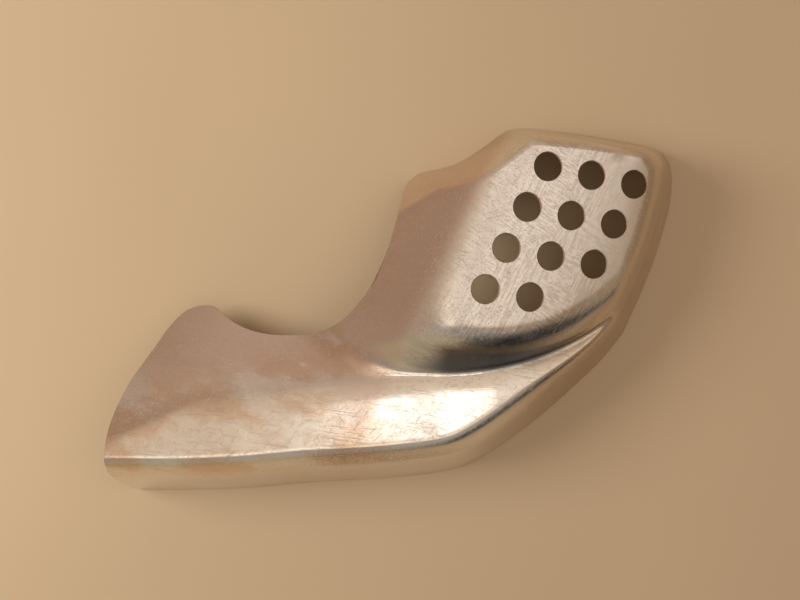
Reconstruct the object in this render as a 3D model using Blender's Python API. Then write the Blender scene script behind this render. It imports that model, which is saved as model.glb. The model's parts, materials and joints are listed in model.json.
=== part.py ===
"""Heat guard for an exhaust manifold: one formed aluminium sheet and its three hidden pipe clamps.

The guard lies on its open side. +X runs along the pipe, +Y towards the vented box and +Z up, and the
origin is the middle of its footprint at floor level. Sizes are in millimetres, and to_metres makes the
vertices metres.

The sheet is a height above the floor over a curved four-sided plan. The four trimmed edges are the front
rim, the right rim, the back edge (ear, cut-out and back rim) and the left end. The height joins a trough,
which covers the pipe, to a box with a vent panel, and walls drop from both to the rims.
"""

import math

import bmesh
import bpy
import numpy as np
from mathutils import Matrix, Vector

# Overall sizes
LEFT, RIGHT = -155.0, 155.0  # ends of the guard along X
FRONT, BACK = -103.0, 103.0  # front and back rims
SHEET = 1.6  # sheet thickness
FIT = 0.3  # gap between pieces that touch

# Trough, which takes its height and the place of its top from the pipe that it covers
PIPE_DIAMETER = 38.0
PIPE_INSET = 0.7 * PIPE_DIAMETER + 11.4  # front clamp to front rim, whose wall leans over the pipe
CROWN_HEIGHT = PIPE_DIAMETER + 13.0  # highest line of the trough
CROWN_INSET = PIPE_DIAMETER / 2 + 12.0  # distance of that line from the front rim
CROWN_TILT = 0.07  # fall of the top of the trough away from the front rim
CROWN_DROP_START = 48.0  # X past which the trough falls towards the right
CROWN_DROP = 0.0024  # how fast it falls
FAR_CREASE_HEIGHT = CROWN_HEIGHT - 6.0
FAR_CREASE = (-47.5, -31.0)  # where the top of the trough turns down towards the cut-out
FAR_TURN = 97.0  # direction the far side faces, degrees from +X
FAR_SLOPE = 0.62
EAR_HEIGHT = CROWN_HEIGHT - 12.0  # height of the crease where the ear is turned down
EAR_CREASE = (-117.0, -27.0)
EAR_TURN = 117.0  # direction the ear faces, degrees from +X
EAR_SLOPE = 0.9

# Box
FOLD_HEIGHT = 75.0  # height of the fold between panel and left face, at its front end
FOLD_POINT = (13.0, 0.0)
FOLD_TURN = 64.0  # direction of the fold, degrees from +X
PANEL_FALL = 0.14  # fall of the panel away from the fold
PANEL_CURVE = 0.0009  # how that fall steepens
PANEL_BACK_FALL = 0.09  # fall of the panel along the fold towards the back
LEFT_FACE_SLOPE = 0.80
CORNER_HEIGHT = CROWN_HEIGHT - 1.0  # height of the box's turned corner at CORNER_POINT
CORNER_POINT = (-8.0, -28.0)
CORNER_TURN = 37.5  # direction in which the corner face climbs
CORNER_SLOPE = 0.73
STEP_CENTRE = (27.0, 113.0)  # the step wall follows an arc about this point
STEP_RADIUS = 146.0
STEP_SLOPE = 1.25

# Walls and bend widths
RIM_WALL_ANGLE = 70.0  # front and right walls, degrees above the floor
BACK_WALL_ANGLE = 78.0
TROUGH_SHOULDER = 22.0  # the larger the value, the rounder the bend
NOSE_SHOULDER = 9.0  # at the tip of the trough, below the step
BOX_SHOULDER = 19.0
BACK_SHOULDER = 24.0
FOLD_BEND = 13.0
STEP_BEND = 9.0
FAR_BEND = 4.0
VALLEY_BEND = 3.0
HOLLOW_BEND = 12.0

# Vents
VENT_DIAMETER = 14.5
FIRST_VENT = (76.0, 73.5)
ROW_STEP = (-10.9, -21.0)
COLUMN_STEP = (23.3, -4.0)
VENTS_IN_ROW = (3, 3, 3, 2)
VENT_SIDES = 28

# Clamps
BAND_WIDTH = 12.0
BAND_THICKNESS = 0.8
BAND_PLAY = 0.4  # room round the band in its bridge
BAND_LAP = 32.0  # degrees by which the band's two ends run past the worm
STRAP_WIDTH = 12.0
STRAP_THICKNESS = 1.5
STRAP_FOOT = 9.0  # length of each welded foot
STRAP_GAP = 0.5  # room for the curve of the sheet above the feet
WORM_RADIUS = 3.6
WORM_CORE_RADIUS = 2.9
WORM_PITCH = 2.4
WORM_TURNS = 6
WORM_SIDES = 12
HOUSING_LENGTH = 15.0
HOUSING_WALL = 1.0
SCREW_HEAD_AF = 7.0  # across the flats
SCREW_HEAD_LENGTH = 4.0
SCREW_SLOT = 1.2
SCREW_SLOT_DEPTH = 1.5
SCREW_COLLAR = 1.2  # how far each collar stands out past the ribs
SCREW_COLLAR_LENGTH = 1.2
HOUSING_ANGLE = -6.0  # place of the worm round the pipe, degrees up from the far side
BAND_STEPS = 64

# Where each clamp sits: name, plan position of its bridge, direction of the pipe in degrees from +X
CLAMPS = (
    ("front", (LEFT + 45.0, FRONT + PIPE_INSET), 0.0),
    ("middle", (-15.0, FRONT + PIPE_INSET + 6.0), 0.0),
    ("rear", (44.0, FRONT + 0.6 * PIPE_DIAMETER + 40.2), 33.0),
)

# Grid: distances of the finer rows and columns from the edges, then even steps between them
FRONT_ROWS = (0.0, 4.0, 9.0, 13.0, 17.0, 21.0, 26.0)
BACK_ROWS = (19.0, 14.5, 11.0, 7.5, 3.5, 0.0)
RIGHT_COLUMNS = (22.0, 17.0, 12.5, 8.0, 4.0, 0.0)
MIDDLE_ROWS = 18
MIDDLE_COLUMNS = 44


def to_metres(points):
    return [tuple(value / 1000 for value in point) for point in points]


# ---------------------------------------------------------------- plan


def left_end():
    """Left cut edge, from the front rim to the top of the ear."""
    return [
        (LEFT + 7, FRONT),
        (LEFT + 2.5, FRONT + 3.5),
        (LEFT + 0.5, FRONT + 11),
        (LEFT, FRONT + 23),
        (LEFT + 1, FRONT + 37),
        (LEFT + 3.5, FRONT + 48),
        (LEFT + 6, FRONT + 55),
        (LEFT + 10.5, FRONT + 65.5),
        (LEFT + 21, FRONT + 82.5),
        (LEFT + 27, FRONT + 92.5),
        (LEFT + 35, FRONT + 101.5),
        (LEFT + 43, FRONT + 104.8),
    ]


def front_rim():
    """Edge that rests on the floor along the trough, from the left end to the tip at the right."""
    return [
        (LEFT + 7, FRONT),
        (LEFT + 41, FRONT),
        (LEFT + 75, FRONT + 1.5),
        (LEFT + 105, FRONT + 4.2),
        (-15, FRONT + 6),
        (15, FRONT + 9),
        (35, FRONT + 13),
        (RIGHT - 103, FRONT + 21.5),
        (RIGHT - 83, FRONT + 35.5),
        (RIGHT - 60, FRONT + 55),
        (RIGHT - 40, FRONT + 74),
        (RIGHT - 28, FRONT + 89),
    ]


def right_rim():
    """Edge that rests on the floor at the right of the box, from the tip to the middle of its corner."""
    return [
        (RIGHT - 28, FRONT + 89),
        (RIGHT - 21.5, BACK - 103),
        (RIGHT - 17.5, BACK - 94),
        (RIGHT - 10, BACK - 75),
        (RIGHT - 3, BACK - 52),
        (RIGHT - 0.5, BACK - 39),
        (RIGHT, BACK - 29),
        (RIGHT - 1.2, BACK - 21),
        (RIGHT - 4.5, BACK - 15.5),
    ]


def cut_out():
    """Ear and curved cut-out, from the top of the ear to the corner of the box."""
    return [
        (LEFT + 43, FRONT + 104.8),
        (LEFT + 50, FRONT + 105),
        (LEFT + 54.5, FRONT + 103.2),
        (LEFT + 62, FRONT + 97.5),
        (LEFT + 73.5, FRONT + 92),
        (LEFT + 87.5, FRONT + 89.4),
        (LEFT + 104, FRONT + 89.4),
        (-43, FRONT + 91.3),
        (-34.5, FRONT + 94.8),
        (-26, FRONT + 100.5),
        (-18.5, 6.5),
        (-12.5, 16),
        (-7, 30),
        (-3, 43),
        (0.5, 57),
        (2.2, 64.5),
        (3.6, 69.5),
        (6, 73.5),
    ]


def back_rim():
    """Edge that rests on the floor behind the box, from its left corner to the middle of its right corner."""
    return [
        (6, 73.5),
        (12, 77.6),
        (23, BACK - 23),
        (32, BACK - 20.2),
        (40, BACK - 15.8),
        (50, BACK - 9),
        (56, BACK - 4.4),
        (62, BACK - 1),
        (69, BACK),
        (80, BACK - 0.9),
        (103, BACK - 3.7),
        (RIGHT - 29.5, BACK - 7.4),
        (RIGHT - 13, BACK - 11),
        (RIGHT - 4.5, BACK - 15.5),
    ]


def smooth_curve(points, steps=12):
    """Catmull-Rom curve through the points, as an array of plan positions."""
    p = np.array(points, float)
    p = np.vstack([2 * p[0] - p[1], p, 2 * p[-1] - p[-2]])
    t = np.linspace(0, 1, steps, endpoint=False)[:, None]
    spans = [
        0.5
        * (
            2 * b
            + (c - a) * t
            + (2 * a - 5 * b + 4 * c - d) * t**2
            + (3 * b - a - 3 * c + d) * t**3
        )
        for a, b, c, d in zip(p, p[1:], p[2:], p[3:])
    ]
    return np.vstack([*spans, p[-2]])


def along(curve, share):
    """Plan positions at shares, from 0 to 1, of the curve's length."""
    lengths = np.linalg.norm(np.diff(curve, axis=0), axis=1)
    reach = np.concatenate([[0], np.cumsum(lengths)]) / lengths.sum()
    share = np.asarray(share)
    return np.stack([np.interp(share, reach, curve[:, k]) for k in (0, 1)], axis=-1)


def distance_to(curve, x, y):
    """Distance in plan from each point to the curve."""
    p = np.stack([np.ravel(x), np.ravel(y)], axis=1)[:, None, :]
    a, d = curve[:-1], np.diff(curve, axis=0)
    t = np.clip(((p - a) * d).sum(2) / (d * d).sum(1), 0, 1)
    gaps = np.linalg.norm(p - a - t[..., None] * d, axis=2)
    return gaps.min(axis=1).reshape(np.shape(x))


FRONT_CURVE = smooth_curve(front_rim())
RIGHT_CURVE = smooth_curve(right_rim())
BACK_CURVE = smooth_curve(back_rim())
CUT_CURVE = smooth_curve(cut_out())
LEFT_CURVE = smooth_curve(left_end())
# Each wall carries on in a straight line past the edge where the sheet is only cut off.
RIM_CURVE = np.vstack([[(LEFT - 20, FRONT)], FRONT_CURVE, RIGHT_CURVE[1:]])
WALL_CURVE = np.vstack([[(-14, 60)], BACK_CURVE])
NORTH_CURVE = np.vstack([CUT_CURVE, BACK_CURVE[1:]])


# ---------------------------------------------------------------- height of the sheet


def smooth_min(a, b, bend):
    h = np.maximum(bend - np.abs(a - b), 0)
    return np.minimum(a, b) - h * h / (4 * bend)


def smooth_max(a, b, bend):
    return -smooth_min(-a, -b, bend)


def ease(value, start, end):
    t = np.clip((value - start) / (end - start), 0, 1)
    return t * t * (3 - 2 * t)


def climb(x, y, point, turn):
    """Distance from point, measured in the direction turn."""
    angle = math.radians(turn)
    return (x - point[0]) * math.cos(angle) + (y - point[1]) * math.sin(angle)


def crown_drop(x):
    """Fall of the trough's top towards its tip."""
    return CROWN_DROP * np.maximum(x - CROWN_DROP_START, 0) ** 2


def trough_height(x, y, rim):
    crown = CROWN_HEIGHT - CROWN_TILT * (rim - CROWN_INSET) - crown_drop(x)
    far_side = FAR_CREASE_HEIGHT - FAR_SLOPE * climb(x, y, FAR_CREASE, FAR_TURN)
    ear = EAR_HEIGHT - EAR_SLOPE * climb(x, y, EAR_CREASE, EAR_TURN)
    return smooth_min(smooth_min(crown, far_side, FAR_BEND), ear, 2 * FAR_BEND)


def panel_height(x, y):
    across = climb(x, y, FOLD_POINT, FOLD_TURN - 90)
    back = climb(x, y, FOLD_POINT, FOLD_TURN)
    steepening = PANEL_CURVE * np.maximum(across, 0) ** 2
    return FOLD_HEIGHT - PANEL_FALL * across - steepening - PANEL_BACK_FALL * back


def box_height(x, y):
    across = climb(x, y, FOLD_POINT, FOLD_TURN - 90)
    left_face = FOLD_HEIGHT + LEFT_FACE_SLOPE * across
    corner = CORNER_HEIGHT + CORNER_SLOPE * climb(x, y, CORNER_POINT, CORNER_TURN)
    step_out = STEP_RADIUS - np.hypot(x - STEP_CENTRE[0], y - STEP_CENTRE[1])
    step = CORNER_HEIGHT - 2 - crown_drop(x) + STEP_SLOPE * step_out
    roof = smooth_min(panel_height(x, y), left_face, FOLD_BEND)
    return smooth_min(smooth_min(roof, corner, FOLD_BEND), step, STEP_BEND)


def guard_height(x, y):
    """Height of the sheet's outer face above the floor."""
    rim = distance_to(RIM_CURVE, x, y)
    back = distance_to(WALL_CURVE, x, y)
    valley = HOLLOW_BEND + (VALLEY_BEND - HOLLOW_BEND) * ease(x, -20, 15)
    body = smooth_max(trough_height(x, y, rim), box_height(x, y), valley)
    shoulder = TROUGH_SHOULDER + (NOSE_SHOULDER - TROUGH_SHOULDER) * ease(x, 55, 105)
    shoulder = shoulder + (BOX_SHOULDER - shoulder) * ease(y, -5, 30)
    rim_wall = math.tan(math.radians(RIM_WALL_ANGLE)) * rim
    back_wall = math.tan(math.radians(BACK_WALL_ANGLE)) * back
    walled = smooth_min(body, rim_wall, shoulder)
    back_shoulder = 0.1 + BACK_SHOULDER * ease(walled, 0, 40)  # no bend where both walls meet the floor
    return smooth_min(walled, back_wall, back_shoulder)


# ---------------------------------------------------------------- guard shell


def spread(first, count, last):
    """Distances at one end, shares between, and distances at the other end, as a function of the length."""

    def shares(length):
        start = np.array(first) / length
        end = 1 - np.array(last) / length
        middle = np.linspace(start[-1], end[0], count + 1)[1:-1]
        return np.concatenate([start, middle, end])

    return shares


def plan_grid(columns, rows):
    """Plan positions of a grid that fills the space between the four edges."""
    length = np.linalg.norm(np.diff(FRONT_CURVE, axis=0), axis=1).sum()
    s = columns(length)
    front, north = along(FRONT_CURVE, s), along(NORTH_CURVE, s)
    right_length = np.linalg.norm(np.diff(RIGHT_CURVE, axis=0), axis=1).sum()
    left_length = np.linalg.norm(np.diff(LEFT_CURVE, axis=0), axis=1).sum()
    grid = []
    for share, a, b in zip(s, front, north):
        crossing = np.linalg.norm(b - a)
        weight = ease(share, 0.7, 1)
        crossing += weight * (right_length - crossing)
        crossing += (1 - ease(share, 0, 0.3)) * (left_length - crossing)
        t = rows(crossing)[:, None]
        left_bow = along(LEFT_CURVE, t[:, 0]) - ((1 - t) * front[0] + t * north[0])
        right_bow = along(RIGHT_CURVE, t[:, 0]) - ((1 - t) * front[-1] + t * north[-1])
        grid.append((1 - t) * a + t * b + (1 - share) * left_bow + share * right_bow)
    return np.array(grid)


def grid_normals(points):
    """Outward normals of a grid of points."""
    normals = np.cross(np.gradient(points, axis=0), np.gradient(points, axis=1))
    return normals / np.linalg.norm(normals, axis=2, keepdims=True)


def sheet_faces(points):
    """Outer and inner points of the sheet. A rim that rests on the floor is trimmed flat."""
    points = points.copy()
    points[:, 0, 2] = 0
    points[-1, :, 2] = 0
    on_floor = points[..., 2] < 0.02
    points[on_floor, 2] = 0
    normals = grid_normals(points)
    flat = np.linalg.norm(normals[..., :2], axis=2)
    sideways = np.where(on_floor, 1 / np.maximum(flat, 0.2), 1)[..., None]
    inner = points - SHEET * normals * sideways
    inner[on_floor, 2] = 0
    return points, inner


def closed_sheet(outer, inner):
    """Mesh between two matching grids, closed round its edge."""
    columns, rows = outer.shape[:2]
    count = columns * rows
    index = np.arange(count).reshape(columns, rows)
    quads = []
    for i in range(columns - 1):
        for j in range(rows - 1):
            loop = (index[i, j], index[i + 1, j], index[i + 1, j + 1], index[i, j + 1])
            quads.append(tuple(map(int, loop)))
            quads.append(tuple(int(k) + count for k in reversed(loop)))
    edge = [*index[:, 0], *index[-1, 1:], *index[-2::-1, -1], *index[0, -2:0:-1]]
    for a, b in zip(edge, edge[1:] + edge[:1]):
        quads.append((int(b), int(a), int(a) + count, int(b) + count))
    points = np.concatenate([outer.reshape(-1, 3), inner.reshape(-1, 3)])
    return points, quads


def vent_places():
    """Plan position of each vent, row by row from the back."""
    for row, vents in enumerate(VENTS_IN_ROW):
        for column in range(vents):
            x = FIRST_VENT[0] + row * ROW_STEP[0] + column * COLUMN_STEP[0]
            y = FIRST_VENT[1] + row * ROW_STEP[1] + column * COLUMN_STEP[1]
            yield x, y


def surface_frame(x, y):
    """Height and outward normal of the outer face at a plan position."""
    step = 0.5
    xs = np.array([x, x + step, x - step, x, x])
    ys = np.array([y, y, y, y + step, y - step])
    z = guard_height(xs, ys)
    slope_x, slope_y = (z[1] - z[2]) / (2 * step), (z[3] - z[4]) / (2 * step)
    return float(z[0]), Vector((-slope_x, -slope_y, 1)).normalized()


def vent_cutters():
    """One object with a cylinder square to the panel at each vent."""
    mesh = bmesh.new()
    for x, y in vent_places():
        z, normal = surface_frame(x, y)
        turn = normal.to_track_quat("Z", "Y").to_matrix().to_4x4()
        place = Matrix.Translation(Vector((x, y, z)) / 1000) @ turn
        bmesh.ops.create_cone(
            mesh,
            cap_ends=True,
            segments=VENT_SIDES,
            radius1=VENT_DIAMETER / 2000,
            radius2=VENT_DIAMETER / 2000,
            depth=0.012,
            matrix=place,
        )
    return helper("vent_cutters", mesh, Matrix.Identity(4))


def build_shell():
    plan = plan_grid(
        spread((0.0,), MIDDLE_COLUMNS, RIGHT_COLUMNS),
        spread(FRONT_ROWS, MIDDLE_ROWS, BACK_ROWS),
    )
    height = guard_height(plan[..., 0], plan[..., 1])
    outer, inner = sheet_faces(np.dstack([plan, height]))
    shell = solid("guard_shell", *closed_sheet(outer, inner), polished_aluminium())
    cut = shell.modifiers.new("vents", "BOOLEAN")
    cut.operation = "DIFFERENCE"
    cut.solver = "EXACT"
    cut.object = vent_cutters()
    return shell


# ---------------------------------------------------------------- materials and objects


def material(name, colour, roughness, metallic=1.0):
    finish = bpy.data.materials.new(name)
    finish.use_nodes = True
    shader = finish.node_tree.nodes["Principled BSDF"]
    shader.inputs["Base Color"].default_value = (*colour, 1)
    shader.inputs["Roughness"].default_value = roughness
    shader.inputs["Metallic"].default_value = metallic
    return finish


def polished_aluminium():
    return material("polished_aluminium", (0.86, 0.84, 0.81), 0.24)


def solid(name, points, faces, finish, place=None):
    """Object from points in millimetres, shaded smooth but for its sharp edges."""
    data = bpy.data.meshes.new(name)
    data.from_pydata(to_metres(points), [], faces)
    data.shade_smooth()
    data.set_sharp_from_angle(angle=math.radians(35))
    data.materials.append(finish)
    obj = bpy.data.objects.new(name, data)
    bpy.context.collection.objects.link(obj)
    if place is not None:
        obj.matrix_world = place
    return obj


def prism(outline, width):
    """Points and faces of an outline in Y and Z, carried along X by width about 0."""
    count = len(outline)
    points = [(side * width / 2, y, z) for side in (-1, 1) for y, z in outline]
    faces = [tuple(reversed(range(count))), tuple(range(count, 2 * count))]
    for k in range(count):
        n = (k + 1) % count
        faces.append((k, n, n + count, k + count))
    return points, faces


# ---------------------------------------------------------------- clamps


def strap_sag():
    """How far the round band falls over half the strap's width."""
    return (STRAP_WIDTH / 2) ** 2 / PIPE_DIAMETER


def band_depth():
    """Depth of the band's outer face below the sheet, where it passes through the bridge."""
    return BAND_PLAY + FIT


def bridge_drop():
    """Depth of the strap's middle below the sheet."""
    return band_depth() + BAND_THICKNESS + strap_sag() + FIT


def ring_radius():
    """Inner radius of the band, which holds the pipe and the strap."""
    return (PIPE_DIAMETER + STRAP_THICKNESS + strap_sag() + FIT + BAND_PLAY) / 2


def ring_depth():
    """Depth of the ring's centre below the sheet."""
    return band_depth() + BAND_THICKNESS + ring_radius()


def clamp_frame(position, turn):
    """Place of a clamp: X along the pipe, Z out through the sheet, origin on its inner face."""
    z, normal = surface_frame(*position)
    angle = math.radians(turn)
    pipe = Vector((math.cos(angle), math.sin(angle), 0))
    pipe = (pipe - normal * pipe.dot(normal)).normalized()
    across = normal.cross(pipe)
    origin = Vector((*position, z)) - normal * SHEET
    frame = Matrix((pipe, across, normal)).transposed().to_4x4()
    return Matrix.Translation(origin / 1000) @ frame


def build_bridge(name, frame):
    """Joggled strap: a welded foot at each end and a raised middle that the band passes over."""
    half_band = BAND_WIDTH / 2 + 1.5
    top, low = -STRAP_GAP, -bridge_drop()
    ramp = half_band + 3
    end = ramp + STRAP_FOOT
    upper = [(-end, top), (-ramp, top), (-half_band, low)]
    upper += [(-x, z) for x, z in reversed(upper)]
    # The lower line is stepped out a little at each joggle, so the strap keeps its thickness there.
    shift = STRAP_THICKNESS * math.tan(math.atan2(top - low, ramp - half_band) / 2)
    lower = [
        (end, top),
        (ramp - shift, top),
        (half_band - shift, low),
    ]
    lower = [(x, z - STRAP_THICKNESS) for x, z in lower]
    lower += [(-x, z) for x, z in reversed(lower)]
    points, faces = prism([(x, z) for x, z in reversed(upper + lower)], STRAP_WIDTH)
    points = [(along_pipe, -across, z) for across, along_pipe, z in points]
    finish = material(f"{name}_steel", (0.55, 0.55, 0.56), 0.38)
    return solid(name, points, faces, finish, frame)


def build_band(name, frame):
    """Clamp band: a strip that runs once round and laps over itself under the worm."""
    start = math.radians(HOUSING_ANGLE - BAND_LAP)
    sweep = 2 * math.pi + 2 * math.radians(BAND_LAP)
    lift = BAND_THICKNESS + FIT
    points = []
    for k in range(BAND_STEPS + 1):
        share = k / BAND_STEPS
        turned = sweep * share
        begin = 2 * math.pi - 0.5
        raised = lift * float(ease(turned, begin, begin + 0.45))
        angle = start + turned
        for radius in (ring_radius(), ring_radius() + BAND_THICKNESS):
            reach = radius + raised
            for side in (-1, 1):
                x = side * BAND_WIDTH / 2
                points.append((x, reach * math.cos(angle), reach * math.sin(angle)))
    faces = [(2, 3, 1, 0)]
    for k in range(BAND_STEPS):
        a, b = 4 * k, 4 * k + 4
        for p, q in ((0, 1), (1, 3), (3, 2), (2, 0)):
            faces.append((a + p, a + q, b + q, b + p))
    last = 4 * BAND_STEPS
    faces.append((last, last + 1, last + 3, last + 2))
    finish = material(f"{name}_steel", (0.62, 0.62, 0.63), 0.28)
    return solid(name, points, faces, finish, frame)


def worm_height():
    """Distance of the worm's axis from the pipe's axis."""
    return ring_radius() + 2 * BAND_THICKNESS + 2 * FIT + WORM_RADIUS


def build_housing(name, frame):
    """Worm housing: a barrel round the worm, with a cheek down each side of the band."""
    inner_half = BAND_WIDTH / 2 + FIT
    outer_half = inner_half + HOUSING_WALL
    foot = ring_radius()
    shelf = ring_radius() + 2 * BAND_THICKNESS + 2.5 * FIT
    bore = WORM_RADIUS + FIT
    barrel = bore + HOUSING_WALL
    centre = worm_height()

    def arc(radius, first, last, steps=10):
        for k in range(steps + 1):
            angle = math.radians(first + (last - first) * k / steps)
            yield radius * math.cos(angle), centre + radius * math.sin(angle)

    mouth = -math.degrees(math.asin((centre - shelf) / bore))
    outline = [(outer_half, foot), (outer_half, shelf + HOUSING_WALL)]
    outline += list(arc(barrel, 0, 180))
    outline += [(-outer_half, shelf + HOUSING_WALL), (-outer_half, foot)]
    outline += [(-inner_half, foot), (-inner_half, shelf)]
    outline += list(arc(bore, 180 - mouth, mouth))
    outline += [(inner_half, shelf), (inner_half, foot)]
    points, faces = prism(outline, HOUSING_LENGTH)
    finish = material(f"{name}_steel", (0.58, 0.58, 0.60), 0.32)
    return solid(name, points, faces, finish, frame)


def screw_profile(neck):
    """Radius and height along the worm, from its top collar down to the collar above its head."""
    collar = WORM_RADIUS + SCREW_COLLAR
    top = WORM_TURNS * WORM_PITCH / 2
    profile = [(0, neck + SCREW_COLLAR_LENGTH), (collar, neck + SCREW_COLLAR_LENGTH)]
    profile += [(collar, neck), (WORM_CORE_RADIUS, neck)]
    for rib in range(WORM_TURNS):
        z = top - rib * WORM_PITCH
        profile += [
            (WORM_CORE_RADIUS, z),
            (WORM_RADIUS, z - 0.35 * WORM_PITCH),
            (WORM_RADIUS, z - 0.65 * WORM_PITCH),
        ]
    profile += [(WORM_CORE_RADIUS, -top), (WORM_CORE_RADIUS, -neck), (collar, -neck)]
    profile += [(collar, -neck - SCREW_COLLAR_LENGTH), (0, -neck - SCREW_COLLAR_LENGTH)]
    return profile


def build_screw(name, frame):
    """Worm screw: a turned, ribbed worm with a slotted hexagon head below it."""
    neck = HOUSING_LENGTH / 2 + FIT
    mesh = bmesh.new()
    ring = [mesh.verts.new((r / 1000, 0, z / 1000)) for r, z in screw_profile(neck)]
    edges = [mesh.edges.new(pair) for pair in zip(ring, ring[1:])]
    bmesh.ops.spin(
        mesh,
        geom=ring + edges,
        cent=(0, 0, 0),
        axis=(0, 0, 1),
        angle=2 * math.pi,
        steps=WORM_SIDES,
        use_merge=True,
        use_duplicate=False,
    )
    bmesh.ops.remove_doubles(mesh, verts=mesh.verts, dist=1e-6)
    bmesh.ops.recalc_face_normals(mesh, faces=mesh.faces)
    data = mesh_data(name, mesh)
    data.shade_smooth()
    data.set_sharp_from_angle(angle=math.radians(35))
    data.materials.append(material(f"{name}_steel", (0.66, 0.66, 0.68), 0.25))
    screw = bpy.data.objects.new(name, data)
    bpy.context.collection.objects.link(screw)
    screw.matrix_world = frame
    add_screw_head(screw, neck + SCREW_COLLAR_LENGTH / 2)
    return screw


def add_screw_head(screw, start):
    """Joins a hexagon head to the worm, then cuts a driver slot across it."""
    end = start + SCREW_HEAD_LENGTH
    hexagon = bmesh.new()
    bmesh.ops.create_cone(
        hexagon,
        cap_ends=True,
        segments=6,
        radius1=SCREW_HEAD_AF / math.sqrt(3) / 1000,
        radius2=SCREW_HEAD_AF / math.sqrt(3) / 1000,
        depth=SCREW_HEAD_LENGTH / 1000,
        matrix=Matrix.Translation((0, 0, -(start + end) / 2000)),
    )
    slot = bmesh.new()
    size = (SCREW_SLOT / 1000, 2 * SCREW_HEAD_AF / 1000, 2 * SCREW_SLOT_DEPTH / 1000, 1)
    place = Matrix.Translation((0, 0, -end / 1000)) @ Matrix.Diagonal(size)
    bmesh.ops.create_cube(slot, size=1, matrix=place)
    for operation, part, mesh in (("UNION", "head", hexagon), ("DIFFERENCE", "slot", slot)):
        change = screw.modifiers.new(part, "BOOLEAN")
        change.operation = operation
        change.solver = "EXACT"
        change.object = helper(f"{screw.name}_{part}", mesh, screw.matrix_world)


def mesh_data(name, mesh):
    """Mesh datablock from a bmesh, which it frees."""
    data = bpy.data.meshes.new(name)
    mesh.to_mesh(data)
    mesh.free()
    return data


def helper(name, mesh, place):
    """Object that only a Boolean uses."""
    obj = bpy.data.objects.new(name, mesh_data(name, mesh))
    bpy.context.collection.objects.link(obj)
    obj.matrix_world = place
    obj.hide_render = True
    obj.display_type = "WIRE"
    return obj


def build_clamp(name, position, turn):
    """A bridge under the sheet, and the band, housing and worm of the clamp that hangs in it."""
    bridge = clamp_frame(position, turn)
    ring = bridge @ Matrix.Translation((0, 0, -ring_depth() / 1000))
    worm_turn = Matrix.Rotation(math.radians(HOUSING_ANGLE - 90), 4, "X")
    # In the worm's frame +Z points away from the pipe, and the worm lies along -Y to +Y.
    housing = ring @ worm_turn @ Matrix.Rotation(math.radians(90), 4, "Z")
    screw = ring @ worm_turn @ Matrix.Translation((0, 0, worm_height() / 1000))
    screw = screw @ Matrix.Rotation(math.radians(90), 4, "X")
    build_bridge(f"{name}_bridge", bridge)
    build_band(f"{name}_band", ring)
    build_housing(f"{name}_worm_housing", housing)
    build_screw(f"{name}_worm_screw", screw)


def main():
    for obj in list(bpy.data.objects):
        bpy.data.objects.remove(obj)
    build_shell()
    for name, position, turn in CLAMPS:
        build_clamp(name, position, turn)


main()
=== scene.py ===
"""Looks of an exhaust manifold heat guard: a formed aluminium sheet and the three pipe clamps under it.

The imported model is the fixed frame. The sheet and the clamps are built again here as fine meshes in the
same places, and each one replaces its own node. Sizes in the classes are in millimetres, positions in the
frame and in Blender are in metres, and +Z points up out of the covered side.
"""

import json
import logging
import math
from collections.abc import Callable, Iterator
from dataclasses import dataclass
from enum import Enum

import bmesh
import bpy
import numpy as np
from mathutils import Matrix, Vector


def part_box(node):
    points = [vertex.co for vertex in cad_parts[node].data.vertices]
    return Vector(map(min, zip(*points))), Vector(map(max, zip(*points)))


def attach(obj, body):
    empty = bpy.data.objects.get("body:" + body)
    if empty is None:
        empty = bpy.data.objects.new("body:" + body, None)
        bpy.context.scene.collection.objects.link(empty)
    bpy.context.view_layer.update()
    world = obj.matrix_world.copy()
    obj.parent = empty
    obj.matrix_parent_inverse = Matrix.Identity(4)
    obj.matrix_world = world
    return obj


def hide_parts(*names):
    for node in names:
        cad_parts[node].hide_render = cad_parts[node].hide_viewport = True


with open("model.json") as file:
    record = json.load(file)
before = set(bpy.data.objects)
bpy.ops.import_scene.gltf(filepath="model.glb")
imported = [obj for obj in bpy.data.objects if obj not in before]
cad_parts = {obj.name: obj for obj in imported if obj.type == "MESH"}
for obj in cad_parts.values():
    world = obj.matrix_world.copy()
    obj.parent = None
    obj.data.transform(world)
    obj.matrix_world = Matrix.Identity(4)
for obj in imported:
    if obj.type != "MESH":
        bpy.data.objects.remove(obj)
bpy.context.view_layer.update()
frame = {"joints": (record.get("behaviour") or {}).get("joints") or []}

LOG = logging.getLogger("heat_guard")
MM = 0.001

Colour = tuple[float, float, float]
Point = tuple[float, float]
Value = "Signal | float"


# ---------------------------------------------------------------- shader expressions


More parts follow.
